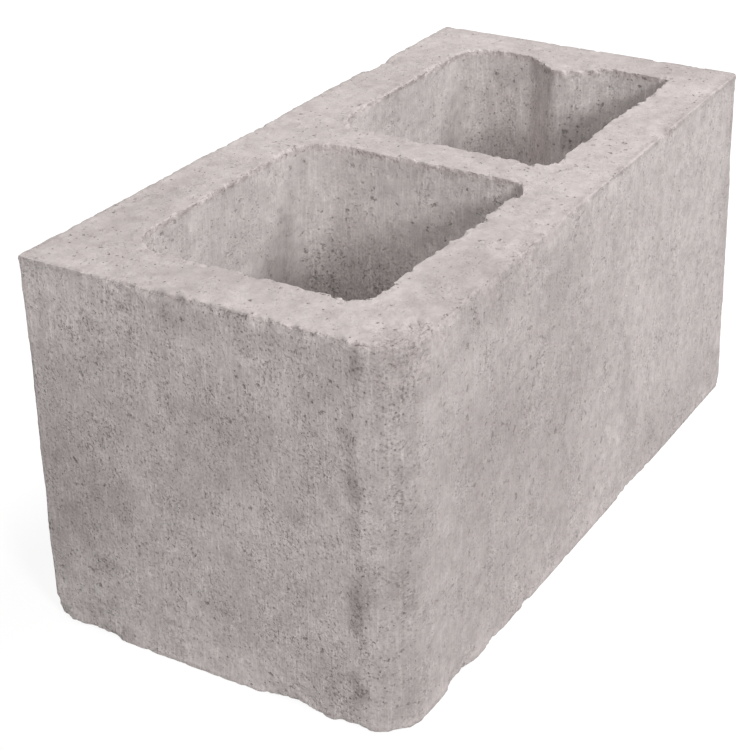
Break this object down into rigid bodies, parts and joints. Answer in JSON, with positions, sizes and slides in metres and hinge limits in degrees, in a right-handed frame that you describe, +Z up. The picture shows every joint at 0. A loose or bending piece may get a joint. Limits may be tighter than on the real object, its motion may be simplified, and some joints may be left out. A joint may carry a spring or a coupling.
{
  "type": "concrete block",
  "caption": "Hollow concrete masonry block, open through from bed to bed, with a web between its cores and a rounded vertical corner.",
  "frame": {"origin": "middle of the block's length and width, on its lower bed face", "axes": "+X along the length, towards the end wall with the inner ridge; +Y across the width, away from the bullnose corner; +Z up, through the cores, towards the bed face where the walls are thinnest"},
  "size_m": [0.4, 0.2, 0.2],
  "materials": {
    "concrete": "dry, matt, open-grained cast concrete with fine pits, drag streaks and crumbled arrises"
  },
  "bodies": {
    "root": {"block": "concrete"}
  },
  "joints": []
}
